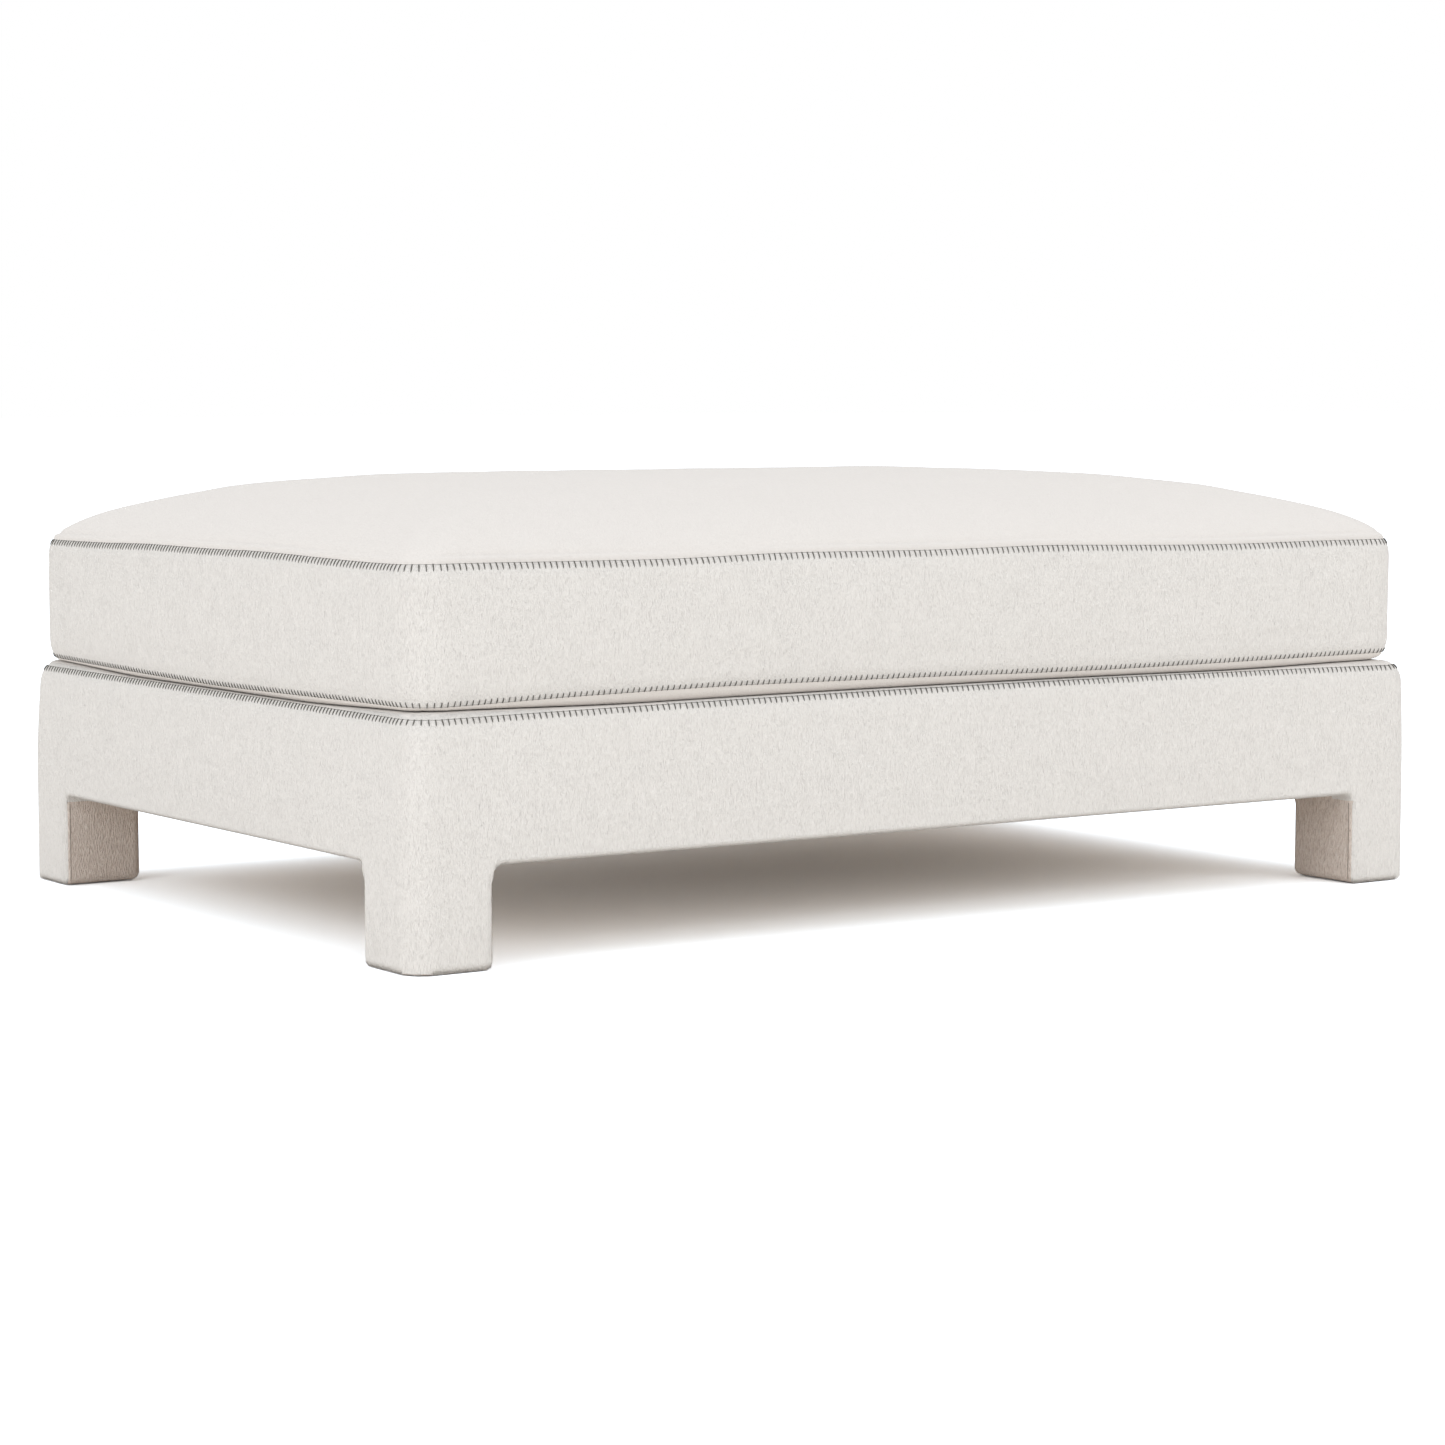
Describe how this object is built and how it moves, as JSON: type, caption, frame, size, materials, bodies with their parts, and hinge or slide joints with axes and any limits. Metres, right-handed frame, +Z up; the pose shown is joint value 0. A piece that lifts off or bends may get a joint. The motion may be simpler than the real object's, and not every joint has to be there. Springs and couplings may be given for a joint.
{
  "type": "ottoman coffee table",
  "caption": "Low upholstered ottoman coffee table: a loose crowned box cushion with blanket-stitched seams on a cloth-covered base with square legs and open arches.",
  "frame": {"origin": "on the floor at the centre of the footprint", "axes": "+X along the long side, -Y towards the front, +Z up"},
  "size_m": [1.35, 0.926, 0.4823],
  "materials": {
    "cover_cloth": "matte",
    "seam_thread": "matte",
    "wadding": "matte",
    "foam": "matte",
    "timber": "matte",
    "fixing_steel": "satin",
    "spring_steel": "satin",
    "spring_cloth": "matte",
    "dust_cloth": "matte",
    "glide_plastic": "matte",
    "zip_tape": "matte",
    "zip_teeth": "satin",
    "zip_metal": "satin"
  },
  "bodies": {
    "base": {"leg_post_front_left": "timber", "corner_brace_front_left": "timber", "leg_wadding_front_left": "wadding", "leg_cover_front_left": "cover_cloth", "leg_post_front_right": "timber", "corner_brace_front_right": "timber", "leg_wadding_front_right": "wadding", "leg_cover_front_right": "cover_cloth", "leg_post_back_left": "timber", "corner_brace_back_left": "timber", "leg_wadding_back_left": "wadding", "leg_cover_back_left": "cover_cloth", "leg_post_back_right": "timber", "corner_brace_back_right": "timber", "leg_wadding_back_right": "wadding", "leg_cover_back_right": "cover_cloth", "rail_front": "timber", "rail_wadding_front": "wadding", "rail_back": "timber", "rail_wadding_back": "wadding", "rail_left": "timber", "rail_wadding_left": "wadding", "rail_right": "timber", "rail_wadding_right": "wadding", "cross_rail_left": "timber", "cross_rail_right": "timber", "rail_dowels": "timber", "corner_bolts": "fixing_steel", "corner_nuts": "fixing_steel", "corner_screws": "fixing_steel", "zigzag_springs": "spring_steel", "spring_clips": "spring_steel", "spring_cover": "spring_cloth", "deck_foam": "foam", "deck_cover": "cover_cloth", "base_cover": "cover_cloth", "base_seam_thread": "seam_thread", "dust_cover": "dust_cloth", "dust_cover_staples": "fixing_steel", "leg_glides": "glide_plastic", "glide_nails": "fixing_steel"},
    "cushion": {"foam_core": "foam", "fibre_wrap": "wadding", "cushion_top_panel": "cover_cloth", "cushion_boxing": "cover_cloth", "cushion_bottom_panel": "cover_cloth", "top_seam_thread": "seam_thread", "bottom_seam_thread": "seam_thread", "zip_upper_tape": "zip_tape", "zip_lower_tape": "zip_tape", "zip_upper_teeth": "zip_teeth", "zip_lower_teeth": "zip_teeth", "zip_stops": "zip_metal"},
    "slider": {"zip_slider": "zip_metal"},
    "pull": {"zip_pull": "zip_metal"}
  },
  "joints": [
    {"name": "cushion_lift", "type": "slide", "parent": "base", "child": "cushion", "axis": [0, 0, 1], "range_m": [0, 0.3]},
    {"name": "zip_run", "type": "slide", "parent": "cushion", "child": "slider", "axis": [-1, 0, 0], "range_m": [0, 1.0874]},
    {"name": "pull_swing", "type": "hinge", "parent": "slider", "child": "pull", "pos_m": [0.5437, 0.4562, 0.3383], "axis": [1, 0, 0], "range_deg": [0, 180]}
  ]
}
